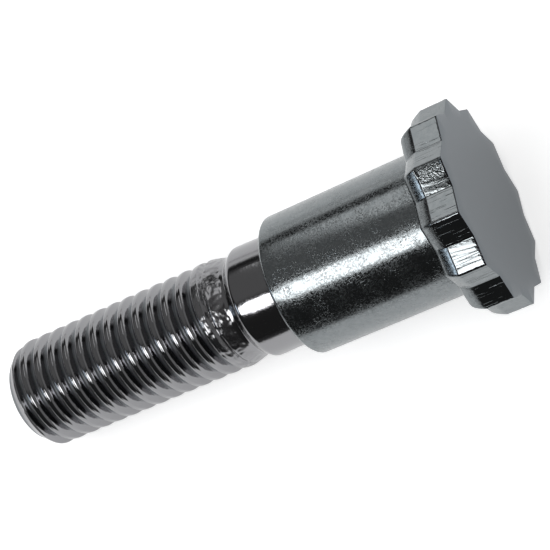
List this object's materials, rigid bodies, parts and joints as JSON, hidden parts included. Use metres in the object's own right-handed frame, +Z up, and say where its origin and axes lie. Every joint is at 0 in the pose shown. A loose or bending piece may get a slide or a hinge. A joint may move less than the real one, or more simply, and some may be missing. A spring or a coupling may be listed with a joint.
{
  "type": "door striker bolt",
  "caption": "Plated steel door striker bolt: a coarse right-hand thread, a short collar, a smooth round striker shoulder and a double-hexagon head, all one piece.",
  "frame": {"origin": "on the bolt's axis, at the plane of the shoulder's seat, which faces the thread", "axes": "+Z up from the surface that the bolt lies on; +X towards the head, level; the bolt's axis lies in the XZ plane and rises 5.24 degrees towards the head, as it comes to rest on two points of the head and the first full crest of the thread; +Y across the bolt"},
  "size_m": [0.0609, 0.0228, 0.0229],
  "materials": {
    "bright_plating": "bright plating over turned and rolled steel, with light trim marks on the head's flanks"
  },
  "bodies": {
    "root": {"striker_bolt": "bright_plating"}
  },
  "joints": []
}
